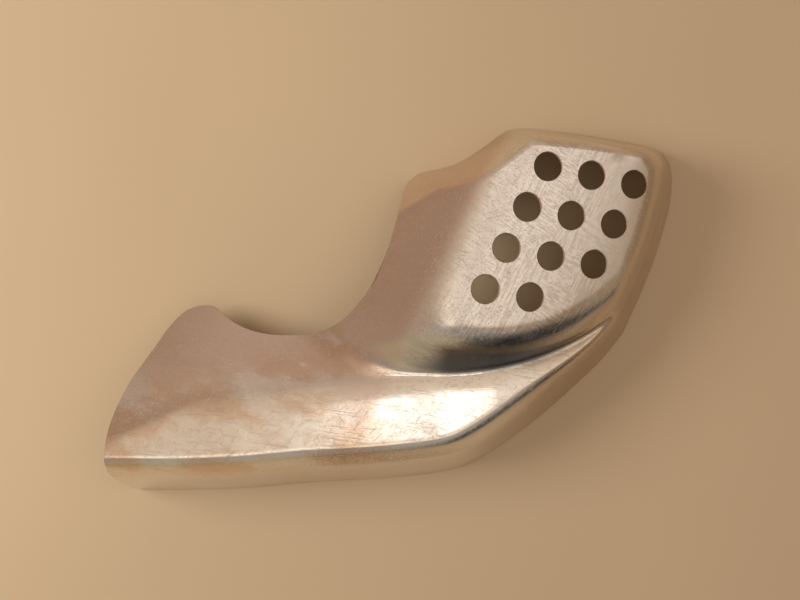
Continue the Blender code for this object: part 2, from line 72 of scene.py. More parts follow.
class Signal:
    """An output socket that takes part in Python arithmetic, each operator adding one Math node."""

    def __init__(self, graph: "Graph", socket: bpy.types.NodeSocket) -> None:
        """Wraps a socket.

        Args:
            graph: The graph that the socket's node belongs to.
            socket: The output socket.
        """
        self.graph = graph
        self.socket = socket

    def __add__(self, other: Value) -> "Signal":
        """Sum of two values."""
        return self.graph.math("ADD", self, other)

    __radd__ = __add__

    def __sub__(self, other: Value) -> "Signal":
        """Difference of two values."""
        return self.graph.math("SUBTRACT", self, other)

    def __rsub__(self, other: Value) -> "Signal":
        """Difference with this value taken away."""
        return self.graph.math("SUBTRACT", other, self)

    def __mul__(self, other: Value) -> "Signal":
        """Product of two values."""
        return self.graph.math("MULTIPLY", self, other)

    __rmul__ = __mul__

    def __truediv__(self, other: Value) -> "Signal":
        """Quotient of two values."""
        return self.graph.math("DIVIDE", self, other)

    def __pow__(self, other: Value) -> "Signal":
        """This value raised to a power."""
        return self.graph.math("POWER", self, other)

    def __abs__(self) -> "Signal":
        """Size of the value without its sign."""
        return self.graph.math("ABSOLUTE", self)

    def either(self, other: Value) -> "Signal":
        """The larger of two values."""
        return self.graph.math("MAXIMUM", self, other)

    def both(self, other: Value) -> "Signal":
        """The smaller of two values."""
        return self.graph.math("MINIMUM", self, other)

    def rise(self, low: float, high: float) -> "Signal":
        """Smooth step of the value.

        Args:
            low: Value at and below which the result is 0.
            high: Value at and above which the result is 1. It may be lower than low for a falling step.

        Returns:
            A value from 0 to 1.
        """
        return self.graph.node(
            "ShaderNodeMapRange",
            {"Value": self, "From Min": low, "From Max": high, "To Min": 0.0, "To Max": 1.0},
            "Result",
            interpolation_type="SMOOTHSTEP",
        )

    def scaled(self, low: float, high: float) -> "Signal":
        """A value from 0 to 1 carried to the range from low to high."""
        return self * (high - low) + low


class Graph:
    """The node tree of one material or world, with one method that adds any node."""

    def __init__(self, tree: bpy.types.NodeTree) -> None:
        """Starts from an empty tree.

        Args:
            tree: The node tree, whose nodes are removed.
        """
        self.tree = tree
        tree.nodes.clear()

    def node(
        self,
        kind: str,
        inputs: dict[str | int, object] | None = None,
        output: str | int = 0,
        **settings: object,
    ) -> Signal:
        """Adds a node.

        Args:
            kind: Blender's name of the node's type.
            inputs: Value or Signal of each input socket, by its name or place.
            output: Name or place of the output that is wanted.
            **settings: Properties of the node, set before its sockets. The setting stops holds a colour
                ramp's pairs of position and colour.

        Returns:
            The output as a Signal.
        """
        made = self.tree.nodes.new(kind)
        for name, value in settings.items():
            if name == "stops":
                self._set_stops(made.color_ramp, value)
            else:
                setattr(made, name, value)
        for key, value in (inputs or {}).items():
            socket = made.inputs[key]
            if isinstance(value, Signal):
                self.tree.links.new(value.socket, socket)
            else:
                socket.default_value = value
        return Signal(self, made.outputs[output] if made.outputs else None)

    @staticmethod
    def _set_stops(ramp: bpy.types.ColorRamp, stops: list[tuple[float, Colour]]) -> None:
        """Sets a colour ramp's stops."""
        while len(ramp.elements) < len(stops):
            ramp.elements.new(1.0)
        for element, (place, colour) in zip(ramp.elements, stops):
            element.position = place
            element.color = (*colour, 1.0)

    def math(self, operation: str, *values: Value) -> Signal:
        """Adds a Math node for one operation on one, two or three values."""
        return self.node("ShaderNodeMath", dict(enumerate(values)), operation=operation)

    def position(self) -> Signal:
        """Place on the object, in metres, in its own coordinates."""
        return self.node("ShaderNodeTexCoord", output="Object")

    def axes(self, vector: Signal) -> tuple[Signal, Signal, Signal]:
        """The three parts of a vector."""
        parts = self.node("ShaderNodeSeparateXYZ", {0: vector})
        outputs = parts.socket.node.outputs
        return tuple(Signal(self, outputs[k]) for k in range(3))

    def mapped(self, vector: Signal, turn: Colour, scale: Colour, shift: Colour = (0, 0, 0)) -> Signal:
        """Vector turned about the three axes, in degrees, then scaled along them."""
        turned = self.node(
            "ShaderNodeMapping",
            {"Vector": vector, "Rotation": tuple(math.radians(angle) for angle in turn)},
        )
        return self.node("ShaderNodeMapping", {"Vector": turned, "Scale": scale, "Location": shift})

    def noise(self, vector: Signal, scale: float, detail: float = 2.0, roughness: float = 0.5) -> Signal:
        """Cloudy noise from 0 to 1, with its middle at 0.5."""
        inputs = {"Vector": vector, "Scale": scale, "Detail": detail, "Roughness": roughness}
        return self.node("ShaderNodeTexNoise", inputs, "Fac")

    def blend(self, factor: Value, first: Colour | Signal, second: Colour | Signal) -> Signal:
        """Colour that goes from the first to the second as factor goes from 0 to 1."""
        made = self.tree.nodes.new("ShaderNodeMix")
        made.data_type = "RGBA"
        sockets = (made.inputs["Factor"], made.inputs[6], made.inputs[7])
        for socket, value in zip(sockets, (factor, first, second)):
            if isinstance(value, Signal):
                self.tree.links.new(value.socket, socket)
            else:
                socket.default_value = value if isinstance(value, float) else (*value, 1.0)
        return Signal(self, made.outputs[2])

    def bump(self, height: Signal, distance: float, strength: float, base: Signal | None = None) -> Signal:
        """Normal roughened by a height that is in units of distance, in metres."""
        inputs: dict[str | int, object] = {"Height": height, "Distance": distance, "Strength": strength}
        if base is not None:
            inputs["Normal"] = base
        return self.node("ShaderNodeBump", inputs, "Normal")


def surface(name: str, dress: Callable[[Graph], dict[str | int, object]]) -> bpy.types.Material:
    """Material with one Principled shader.

    Args:
        name: Name of the material.
        dress: Adds the nodes and returns the value or Signal of each of the shader's sockets.

    Returns:
        The material.
    """
    finish = bpy.data.materials.new(name)
    finish.use_nodes = True
    graph = Graph(finish.node_tree)
    shader = graph.node("ShaderNodeBsdfPrincipled", dress(graph))
    graph.node("ShaderNodeOutputMaterial", {"Surface": shader})
    return finish


# ---------------------------------------------------------------- finishes


@dataclass(frozen=True)
class StrokeLayer:
    """One direction of fine brush strokes or scratches."""

    turn: float  # degrees from +X, in plan
    length: float  # mm
    width: float  # mm
    shift: float  # moves the pattern, so that layers differ

    def noise(self, graph: Graph, place: Signal, detail: float = 2.0) -> Signal:
        """Streaky noise along the layer's direction."""
        scale = (1 / (self.length * MM), 1 / (self.width * MM), 1 / (self.width * MM))
        vector = graph.mapped(place, (0, 0, -self.turn), scale, (self.shift,) * 3)
        return graph.noise(vector, 1.0, detail, 0.6)


@dataclass(frozen=True)
class HandPolishedAluminium:
    """Sheet aluminium, polished and brushed by hand, with scratches, stains and a tarnished film."""

    clean: Colour = (0.90, 0.865, 0.82)
    satin: Colour = (0.93, 0.91, 0.88)
    tarnish: Colour = (0.72, 0.53, 0.43)
    stain: Colour = (0.93, 0.90, 0.87)
    tan: Colour = (0.78, 0.60, 0.46)
    # painted reflection: brown of the floor, laid on the walls and the tip
    floor_reflection_brown: Colour = (0.52, 0.39, 0.25)
    dull: Colour = (0.60, 0.55, 0.50)
    front_ridge_dark: Colour = (0.30, 0.24, 0.19)
    # painted shade: near-black colour of the step band, standing in for the dark room that the step reflects
    valley_dark_reflection: Colour = (0.12, 0.125, 0.135)
    rough_low: float = 0.15
    rough_high: float = 0.24
    stain_rough: float = 0.50

    def build(self, form: "GuardForm") -> bpy.types.Material:
        """Makes the material.

        Args:
            form: The sheet's shape, which places the bands that were brushed.

        Returns:
            The material.
        """

        def dress(graph: Graph) -> dict[str | int, object]:
            place = graph.position()
            x, y, z = graph.axes(place)
            turn = math.radians(form.fold_turn)
            east, north = x - form.fold_point[0] * MM, y - form.fold_point[1] * MM
            across = east * math.sin(turn) - north * math.cos(turn)
            on_box = z.rise(0.050, 0.060)
            right_of_fold = across.rise(-0.002, 0.003)
            panel = on_box * right_of_fold
            fold = on_box * abs(across - 0.006).rise(0.016, 0.003)
            blotch = graph.noise(place, 26.0, 3.0, 0.55)
            cloud = graph.noise(place, 9.0, 2.0, 0.5)

            along = StrokeLayer(3.0, 60.0, 0.9, 0.0).noise(graph, place)
            slanted = StrokeLayer(62.0, 36.0, 1.3, 3.1).noise(graph, place)
            crossed = StrokeLayer(-32.0, 48.0, 1.3, 5.3).noise(graph, place)
            hatch = graph.noise(place, 34.0, 1.0).rise(0.46, 0.54)
            hatched = (slanted - crossed) * hatch + crossed
            upright = StrokeLayer(88.0, 16.0, 0.8, 8.7).noise(graph, place)
            strokes = along * 0.5 + upright * 0.3 + panel * (hatched * 2.0 - along) * 0.6

            scratch = self._scratches(graph, place)
            ridge = abs(y + 0.082).rise(0.012, 0.002) * z.rise(0.036, 0.042)
            linished = ridge * upright.rise(0.38, 0.60) * x.rise(-0.062, -0.030) * x.rise(0.075, 0.045)
            fold_marks = fold * crossed.rise(0.40, 0.66)

            stains = self._stains(graph, place, x, z)
            film = self._film(graph, across, x, y, z, cloud)
            speck = self._specks(graph, place)

            rough = blotch.rise(0.30, 0.72).scaled(self.rough_low, self.rough_high)
            rough = rough + (hatched - 0.5) * panel * 0.25
            rough = rough + fold * 0.14 + film * 0.12
            rough = rough + (self.stain_rough - rough) * stains
            rough = rough - scratch * 0.06

            colour = graph.blend(blotch.rise(0.35, 0.70), self.clean, self.satin)
            colour = graph.blend(panel * hatched.rise(0.56, 0.44) * 0.60, colour, self.dull)
            colour = graph.blend(self._tan_patches(graph, place, x, z) * 0.75, colour, self.tan)
            colour = graph.blend(film * 0.75, colour, self.tarnish)
            # darker streaks along the front ridge, in its upright brush strokes
            colour = graph.blend(linished * 0.70, colour, self.front_ridge_dark)
            # painted reflection: brown of the floor on the tip, the right side and the back wall
            colour = graph.blend(self._painted_floor_reflection(x, y, z) * 0.70, colour, self.floor_reflection_brown)
            # painted shade: the step band is darkened towards the near-black colour
            colour = graph.blend(self._painted_valley_shade(graph, form, x, y, z) * 0.92, colour, self.valley_dark_reflection)
            colour = graph.blend(fold * 0.5 + fold_marks * 0.4, colour, self.stain)
            colour = graph.blend(stains * 0.85, colour, self.stain)
            colour = graph.blend(speck * 0.55, colour, self.stain)

            fine = strokes * 0.35 - scratch * 0.9 + linished * 0.5 + fold_marks * 0.5 + speck * 0.3
            normal = graph.bump(cloud + blotch * 0.35, 0.0012, 0.30)
            normal = graph.bump(fine, 0.00012, 0.55, normal)
            return {
                "Base Color": colour,
                "Metallic": 1.0,
                "Roughness": rough,
                "Normal": normal,
            }

        return surface("hand_polished_aluminium", dress)

    @staticmethod
    def _scratches(graph: Graph, place: Signal) -> Signal:
        """Thin single scratches in three directions."""
        layers = (
            StrokeLayer(-8.0, 34.0, 0.35, 11.0),
            StrokeLayer(47.0, 24.0, 0.30, 17.0),
            StrokeLayer(-61.0, 20.0, 0.30, 23.0),
        )
        first, second, third = (layer.noise(graph, place, 0.0).rise(0.72, 0.80) for layer in layers)
        return first.either(second).either(third)

    @staticmethod
    def _stains(graph: Graph, place: Signal, x: Signal, z: Signal) -> Signal:
        """Whitish oxide patches, mostly on top of the trough at its left."""
        spread = graph.mapped(place, (0, 0, 20), (1.0, 1.4, 1.0), (2.0, 1.0, 0.0))
        patch = graph.noise(spread, 42.0, 4.0, 0.62)
        where = x.rise(0.0, -0.06).scaled(0.25, 1.0)
        return patch.rise(0.60, 0.72) * where * z.rise(0.015, 0.040)

    @staticmethod
    def _tan_patches(graph: Graph, place: Signal, x: Signal, z: Signal) -> Signal:
        """Tan heat patches on top of the trough."""
        spread = graph.mapped(place, (0, 0, 10), (0.7, 1.3, 1.0), (5.0, 3.0, 0.0))
        patch = graph.noise(spread, 30.0, 4.0, 0.6)
        return patch.rise(0.40, 0.58) * x.rise(0.010, -0.030) * z.rise(0.030, 0.044)

    @staticmethod
    def _painted_floor_reflection(x: Signal, y: Signal, z: Signal) -> Signal:
        """Brown painted at the trough's tip, on the walls round it, at the right and behind the box: a
        painted reflection of the brown floor.
        """
        tip_walls = x.rise(0.040, 0.100) * z.rise(0.042, 0.028)
        tip_top = x.rise(0.045, 0.085) * z.rise(0.053, 0.048) * 0.75
        side = x.rise(0.128, 0.145)
        back_wall = y.rise(0.082, 0.096) * 0.6
        return tip_walls.either(tip_top).either(side).either(back_wall)

    @staticmethod
    def _film(graph: Graph, across: Signal, x: Signal, y: Signal, z: Signal, cloud: Signal) -> Signal:
        """Dull film where the polisher didn't reach: left of the fold and behind the trough."""
        left_face = across.rise(0.004, -0.006) * (x + y * 0.3).rise(-0.055, -0.035)
        left_face = left_face * y.rise(-0.030, 0.012).scaled(0.55, 1.0)
        behind = y.rise(-0.040, -0.026) * x.rise(-0.015, -0.035)
        patchy = cloud.rise(0.25, 0.75).scaled(0.70, 1.0)
        return left_face.either(behind) * patchy

    @staticmethod
    def _painted_valley_shade(graph: Graph, form: "GuardForm", x: Signal, y: Signal, z: Signal) -> Signal:
        """Dark band painted on the step between the box and the trough: painted shade that stands in for the
        dark room the step reflects.
        """
        east, north = (x - form.step_centre[0] * MM), (y - form.step_centre[1] * MM)
        out = (east * east + north * north) ** 0.5 - form.step_radius * MM
        uneven = (graph.noise(graph.position(), 60.0, 3.0) - 0.5) * 0.006
        band = (out + uneven).rise(-0.0185, -0.0120) * (out + uneven).rise(0.0035, -0.0015)
        return band * x.rise(0.000, 0.026) * x.rise(0.110, 0.050) * z.rise(0.035, 0.042)

    @staticmethod
    def _specks(graph: Graph, place: Signal) -> Signal:
        """Small light dots of oxide."""
        distance = graph.node(
            "ShaderNodeTexVoronoi",
            {"Vector": place, "Scale": 420.0, "Randomness": 1.0},
            "Distance",
        )
        chosen = graph.noise(place, 70.0, 1.0).rise(0.60, 0.70)
        return distance.rise(0.26, 0.12) * chosen


@dataclass(frozen=True)
class ClampSteel:
    """Plated or rolled steel of the hidden clamps, with rolling lines and a little heat tint."""

    name: str
    colour: Colour
    tint: Colour
    rough: float

    def build(self) -> bpy.types.Material:
        """Makes the material."""

        def dress(graph: Graph) -> dict[str | int, object]:
            place = graph.position()
            lines = StrokeLayer(0.0, 12.0, 0.25, 1.0).noise(graph, place)
            cloud = graph.noise(place, 90.0, 3.0, 0.6)
            colour = graph.blend(cloud.rise(0.40, 0.75) * 0.7, self.colour, self.tint)
            rough = (cloud - 0.5) * 0.25 + (lines - 0.5) * 0.12 + self.rough
            normal = graph.bump(lines * 0.6 + cloud, 0.00008, 0.5)
            return {"Base Color": colour, "Metallic": 1.0, "Roughness": rough, "Normal": normal}

        return surface(self.name, dress)


# ---------------------------------------------------------------- mesh helpers


def smooth_curve(points: list[Point], steps: int = 16) -> np.ndarray:
    """Catmull-Rom curve.

    Args:
        points: Plan positions that the curve passes through.
        steps: Pieces in each span.

    Returns:
        Plan positions along the curve, one row each.
    """
    p = np.array(points, float)
    p = np.vstack([2 * p[0] - p[1], p, 2 * p[-1] - p[-2]])
    t = np.linspace(0, 1, steps, endpoint=False)[:, None]
    spans = [
        0.5 * (2 * b + (c - a) * t + (2 * a - 5 * b + 4 * c - d) * t**2 + (3 * b - a - 3 * c + d) * t**3)
        for a, b, c, d in zip(p, p[1:], p[2:], p[3:])
    ]
    return np.vstack([*spans, p[-2]])


def along(curve: np.ndarray, share: np.ndarray) -> np.ndarray:
    """Positions at shares, from 0 to 1, of a curve's length."""
    lengths = np.linalg.norm(np.diff(curve, axis=0), axis=1)
    reach = np.concatenate([[0], np.cumsum(lengths)]) / lengths.sum()
    return np.stack([np.interp(share, reach, curve[:, k]) for k in (0, 1)], axis=-1)


def distance_to(curve: np.ndarray, x: np.ndarray, y: np.ndarray) -> np.ndarray:
    """Distance in plan from each point to a curve."""
    found = np.full(np.size(x), np.inf)
    px, py = np.ravel(x), np.ravel(y)
    for (ax, ay), (bx, by) in zip(curve[:-1], curve[1:]):
        dx, dy = bx - ax, by - ay
        t = np.clip(((px - ax) * dx + (py - ay) * dy) / (dx * dx + dy * dy), 0, 1)
        np.minimum(found, np.hypot(px - ax - t * dx, py - ay - t * dy), out=found)
    return found.reshape(np.shape(x))


def smooth_min(a: np.ndarray, b: np.ndarray, bend: float | np.ndarray) -> np.ndarray:
    """Smaller of two heights, with a rounded change from one to the other."""
    h = np.maximum(bend - np.abs(a - b), 0)
    return np.minimum(a, b) - h * h / (4 * bend)


def smooth_max(a: np.ndarray, b: np.ndarray, bend: float | np.ndarray) -> np.ndarray:
    """Larger of two heights, with a rounded change from one to the other."""
    return -smooth_min(-a, -b, bend)


def ease(value: np.ndarray | float, start: float, end: float) -> np.ndarray:
    """Smooth step from 0 at start to 1 at end."""
    t = np.clip((value - start) / (end - start), 0, 1)
    return t * t * (3 - 2 * t)


def climb(x: np.ndarray, y: np.ndarray, point: Point, turn: float) -> np.ndarray:
    """Distance from a point, measured in the direction turn, in degrees from +X."""
    angle = math.radians(turn)
    return (x - point[0]) * math.cos(angle) + (y - point[1]) * math.sin(angle)


def make_object(
    name: str, mesh: bpy.types.Mesh, finish: bpy.types.Material | None, place: Matrix | None = None
) -> bpy.types.Object:
    """Object in the scene with one material.

    Args:
        name: Name of the object.
        mesh: Its mesh, in metres.
        finish: Its material, or None for a cutter.
        place: Its place in the frame, or None for the frame's own origin.

    Returns:
        The object.
    """
    obj = bpy.data.objects.new(name, mesh)
    bpy.context.scene.collection.objects.link(obj)
    if finish is not None:
        mesh.materials.append(finish)
    if place is not None:
        obj.matrix_world = place
    return obj


def mesh_of(
    name: str, points: np.ndarray | list, faces: list[tuple[int, ...]], merge: bool = False
) -> bpy.types.Mesh:
    """Mesh with its faces turned outward.

    Args:
        name: Name of the mesh.
        points: Its points in millimetres.
        faces: The points of each face.
        merge: Whether points in the same place become one, as at a turned piece's axis.

    Returns:
        The mesh, in metres.
    """
    data = bpy.data.meshes.new(name)
    data.from_pydata((np.asarray(points, float) * MM).tolist(), [], faces)
    work = bmesh.new()
    work.from_mesh(data)
    if merge:
        bmesh.ops.remove_doubles(work, verts=work.verts, dist=0.002 * MM)
    bmesh.ops.recalc_face_normals(work, faces=work.faces)
    work.to_mesh(data)
    work.free()
    return data


def grid_faces(rows: int, columns: int, close_columns: bool = False) -> list[tuple[int, ...]]:
    """Four-sided faces of a grid of points that is stored row by row."""
    faces = []
    for i in range(rows - 1):
        for j in range(columns - (not close_columns)):
            a, b = i + 1, (j + 1) % columns
            faces.append((i * columns + j, i * columns + b, a * columns + b, a * columns + j))
    return faces


def prism_faces(count: int) -> list[tuple[int, ...]]:
    """Faces of a prism whose two outlines hold count points each, one after the other."""
    faces = [tuple(range(count)), tuple(reversed(range(count, 2 * count)))]
    faces += [(k, k + count, (k + 1) % count + count, (k + 1) % count) for k in range(count)]
    return faces


def apply_changes(obj: bpy.types.Object) -> None:
    """Makes the object's modifiers part of its mesh."""
    graph = bpy.context.evaluated_depsgraph_get()
    made = bpy.data.meshes.new_from_object(obj.evaluated_get(graph))
    obj.modifiers.clear()
    obj.data = made


def bevel(obj: bpy.types.Object, width: float, segments: int = 3, angle: float = 40.0) -> None:
    """Rounds the object's sharp edges.

    Args:
        obj: The object.
        width: Width of the rounding in mm.
        segments: Faces across the rounding.
        angle: Smallest turn between two faces that counts as sharp, in degrees.
    """
    change = obj.modifiers.new("edges", "BEVEL")
    change.width = width * MM
    change.segments = segments
    change.limit_method = "ANGLE"
    change.angle_limit = math.radians(angle)
    apply_changes(obj)
    shade(obj, 50.0)


def shade(obj: bpy.types.Object, angle: float) -> None:
    """Smooth shading, except at edges sharper than an angle in degrees."""
    obj.data.shade_smooth()
    obj.data.set_sharp_from_angle(angle=math.radians(angle))


def cut(obj: bpy.types.Object, cutter: bpy.types.Object, operation: str = "DIFFERENCE") -> None:
    """Cuts the object by, or joins it to, another one, which is then removed."""
    change = obj.modifiers.new("cut", "BOOLEAN")
    change.operation = operation
    change.solver = "MANIFOLD"
    change.object = cutter
    bpy.context.view_layer.update()
    apply_changes(obj)
    bpy.data.objects.remove(cutter)


# ---------------------------------------------------------------- heat guard


@dataclass(frozen=True)
class GuardForm:
    """Shape of the sheet's outer face: a height above the floor over a curved four-sided plan."""

    left: float
    right: float
    front: float
    back: float
    crown_height: float = 51.0
    crown_inset: float = 31.0
    crown_tilt: float = 0.07
    crown_drop_start: float = 48.0
    crown_drop: float = 0.0024
    far_crease_height: float = 45.0
    far_crease: Point = (-47.5, -31.0)
    far_turn: float = 97.0
    far_slope: float = 0.62
    ear_height: float = 39.0
    ear_crease: Point = (-117.0, -27.0)
    ear_turn: float = 117.0
    ear_slope: float = 0.90
    fold_height: float = 75.0
    fold_point: Point = (13.0, 0.0)
    fold_turn: float = 64.0
    panel_fall: float = 0.14
    panel_curve: float = 0.0009
    panel_back_fall: float = 0.09
    left_face_slope: float = 0.80
    corner_height: float = 50.0
    corner_point: Point = (-8.0, -28.0)
    corner_turn: float = 37.5
    corner_slope: float = 0.73
    step_centre: Point = (27.0, 113.0)
    step_radius: float = 146.0
    step_slope: float = 1.25
    rim_wall_angle: float = 70.0
    back_wall_angle: float = 78.0
    trough_shoulder: float = 22.0
    nose_shoulder: float = 9.0
    box_shoulder: float = 19.0
    back_shoulder: float = 24.0
    fold_bend: float = 13.0
    step_bend: float = 9.0
    far_bend: float = 9.0
    ear_bend: float = 12.0
    valley_bend: float = 3.0
    hollow_bend: float = 12.0

    @classmethod
    def from_frame(cls, node: str) -> "GuardForm":
        """Shape that fills the box of a CAD node."""
        low, high = (np.array(corner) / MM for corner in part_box(node))
        left, right, front, back = (round(float(v), 0) for v in (low[0], high[0], low[1], high[1]))
        return cls(left, right, front, back)

    def left_end(self) -> list[Point]:
        """Left cut edge, from the front rim to the top of the ear."""
        steps = ((7, 0), (2.5, 3.5), (0.5, 11), (0, 23), (1, 37), (3.5, 48), (6, 55), (10.5, 65.5))
        steps += ((21, 82.5), (27, 92.5), (35, 101.5), (43, 104.8))
        return [(self.left + x, self.front + y) for x, y in steps]

    def front_rim(self) -> list[Point]:
        """Edge on the floor along the trough, from the left end to the tip at the right."""
        steps = ((-148, 0), (-114, 0), (-80, 1.5), (-50, 4.2), (-15, 6), (15, 9), (35, 13), (52, 21.5))
        steps += ((72, 35.5), (95, 55), (115, 74), (127, 89))
        return [(x, self.front + y) for x, y in steps]

    def right_rim(self) -> list[Point]:
        """Edge on the floor at the right of the box, from the tip to the middle of its corner."""
        steps = ((-28, -117), (-21.5, -103), (-17.5, -94), (-10, -75), (-3, -52), (-0.5, -39))
        steps += ((0, -29), (-1.2, -21), (-4.5, -15.5))
        return [(self.right + x, self.back + y) for x, y in steps]

    def cut_out(self) -> list[Point]:
        """Ear and curved cut-out, from the top of the ear to the corner of the box."""
        steps = ((43, 104.8), (50, 105), (54.5, 103.2), (62, 97.5), (73.5, 92), (87.5, 89.4))
        steps += ((104, 89.4), (112, 91.3), (120.5, 94.8), (129, 100.5), (136.5, 109.5), (142.5, 119))
        steps += ((148, 133), (152, 146), (155.5, 160), (157.2, 167.5), (158.6, 172.5), (161, 176.5))
        return [(self.left + x, self.front + y) for x, y in steps]

    def back_rim(self) -> list[Point]:
        """Edge on the floor behind the box, from its left corner to the middle of its right corner."""
        steps = ((6, -29.5), (12, -25.4), (23, -23), (32, -20.2), (40, -15.8), (50, -9), (56, -4.4))
        steps += ((62, -1), (69, 0), (80, -0.9), (103, -3.7), (125.5, -7.4), (142, -11), (150.5, -15.5))
        return [(x, self.back + y) for x, y in steps]

    def edges(self) -> tuple[np.ndarray, np.ndarray, np.ndarray, np.ndarray]:
        """Curves of the front, right, north and left edges; north is the cut-out, then the back rim."""
        cut_curve, back_curve = smooth_curve(self.cut_out()), smooth_curve(self.back_rim())
        north = np.vstack([cut_curve, back_curve[1:]])
        front, right, left = map(smooth_curve, (self.front_rim(), self.right_rim(), self.left_end()))
        return front, right, north, left

    def drop(self, x: np.ndarray) -> np.ndarray:
        """Fall of the trough's top towards its tip."""
        return self.crown_drop * np.maximum(x - self.crown_drop_start, 0) ** 2

    def trough(self, x: np.ndarray, y: np.ndarray, rim: np.ndarray) -> np.ndarray:
        """Height of the trough, its far side and its ear."""
        crown = self.crown_height - self.crown_tilt * (rim - self.crown_inset) - self.drop(x)
        far_side = self.far_crease_height - self.far_slope * climb(x, y, self.far_crease, self.far_turn)
        ear = self.ear_height - self.ear_slope * climb(x, y, self.ear_crease, self.ear_turn)
        return smooth_min(smooth_min(crown, far_side, self.far_bend), ear, self.ear_bend)

    def box(self, x: np.ndarray, y: np.ndarray) -> np.ndarray:
        """Height of the box: its vent panel, left face, turned corner and step wall."""
        across = climb(x, y, self.fold_point, self.fold_turn - 90)
        back = climb(x, y, self.fold_point, self.fold_turn)
        steepening = self.panel_curve * np.maximum(across, 0) ** 2
        panel = self.fold_height - self.panel_fall * across - steepening - self.panel_back_fall * back
        left_face = self.fold_height + self.left_face_slope * across
        corner = self.corner_height + self.corner_slope * climb(x, y, self.corner_point, self.corner_turn)
        step_out = self.step_radius - np.hypot(x - self.step_centre[0], y - self.step_centre[1])
        step = self.corner_height - 2 - self.drop(x) + self.step_slope * step_out
        roof = smooth_min(panel, left_face, self.fold_bend)
        return smooth_min(smooth_min(roof, corner, self.fold_bend), step, self.step_bend)

    def height(self, x: np.ndarray, y: np.ndarray) -> np.ndarray:
        """Height of the sheet's outer face above the floor.

        Args:
            x: Plan positions along +X, in mm.
            y: Plan positions along +Y, in mm.

        Returns:
            Heights in mm, in the same array shape.
        """
        front, right, _, _ = self.edges()
        rim_curve = np.vstack([[(self.left - 20, self.front)], front, right[1:]])
        wall_curve = np.vstack([[(-14, 60)], smooth_curve(self.back_rim())])
        rim, back = distance_to(rim_curve, x, y), distance_to(wall_curve, x, y)
        valley = self.hollow_bend + (self.valley_bend - self.hollow_bend) * ease(x, -20, 15)
        body = smooth_max(self.trough(x, y, rim), self.box(x, y), valley)
        shoulder = self.trough_shoulder + (self.nose_shoulder - self.trough_shoulder) * ease(x, 55, 105)
        shoulder = shoulder + (self.box_shoulder - shoulder) * ease(y, -5, 30)
        rim_wall = math.tan(math.radians(self.rim_wall_angle)) * rim
        back_wall = math.tan(math.radians(self.back_wall_angle)) * back
        walled = smooth_min(body, rim_wall, shoulder)
        # The bend fades towards the floor, where the back wall meets the right one.
        back_shoulder = 0.1 + self.back_shoulder * ease(walled, 0, 40)
        return smooth_min(walled, back_wall, back_shoulder)


@dataclass(frozen=True)
class Dent:
    """A shallow long dent or wrinkle in the sheet."""

    place: Point
    turn: float  # degrees from +X
    length: float
    width: float
    depth: float

    def depth_at(self, x: np.ndarray, y: np.ndarray) -> np.ndarray:
        """Depth in mm at plan positions."""
        u = climb(x, y, self.place, self.turn) / self.length
        v = climb(x, y, self.place, self.turn + 90) / self.width
        return self.depth * np.exp(-(u * u + v * v) * 2)


@dataclass(frozen=True)
class Vents:
    """The drilled vents in the panel: four rows that follow its slant."""

    diameter: float = 14.5
    first: Point = (76.0, 73.5)
    row_step: Point = (-10.9, -21.0)
    column_step: Point = (23.3, -4.0)
    in_row: tuple[int, ...] = (3, 3, 3, 2)
    deburr: float = 0.7
    sides: int = 72

    def places(self) -> Iterator[Point]:
        """Plan position of each vent."""
        for row, vents in enumerate(self.in_row):
            for column in range(vents):
                yield tuple(
                    start + row * down + column * over
                    for start, down, over in zip(self.first, self.row_step, self.column_step)
                )

    def cutter(self, form: GuardForm, sheet: float) -> bpy.types.Object:
        """One object with a flared plug square to the panel at each vent.

        Args:
            form: Shape of the sheet.
            sheet: Its thickness in mm.

        Returns:
            The cutter.
        """
        radius, flare = self.diameter / 2, self.deburr
        profile = [(radius + flare + 3.0, 3.0), (radius + flare, 0.0)]
        profile += [(radius + flare * 0.3, -flare * 0.45), (radius, -flare)]
        profile += [(radius, -sheet + 0.3), (radius + 0.3, -sheet), (radius + 3.3, -sheet - 3.0)]
        turns = np.linspace(0, 2 * math.pi, self.sides, endpoint=False)
        points: list[tuple[float, float, float]] = []
        faces: list[tuple[int, ...]] = []
        for place in self.places():
            origin, turn = self._frame(form, place)
            first = len(points)
            for r, z in profile:
                ring = [turn @ Vector((r * math.cos(a), r * math.sin(a), z)) + origin for a in turns]
                points += [tuple(point) for point in ring]
            for quad in grid_faces(len(profile), self.sides, close_columns=True):
                faces.append(tuple(first + k for k in quad))
            faces.append(tuple(first + k for k in range(self.sides)))
            end = first + (len(profile) - 1) * self.sides
            faces.append(tuple(end + k for k in reversed(range(self.sides))))
        return make_object("vent_cutter", mesh_of("vent_cutter", points, faces), None)

    @staticmethod
    def _frame(form: GuardForm, place: Point, step: float = 3.0) -> tuple[Vector, Matrix]:
        """Point on the sheet at a vent, and the rotation that takes +Z to the sheet's normal."""
        x, y = place
        z = form.height(np.array([x, x + step, x - step, x, x]), np.array([y, y, y, y + step, y - step]))
        normal = Vector(((z[2] - z[1]) / (2 * step), (z[4] - z[3]) / (2 * step), 1)).normalized()
        return Vector((x, y, float(z[0]))), normal.to_track_quat("Z", "Y").to_matrix()


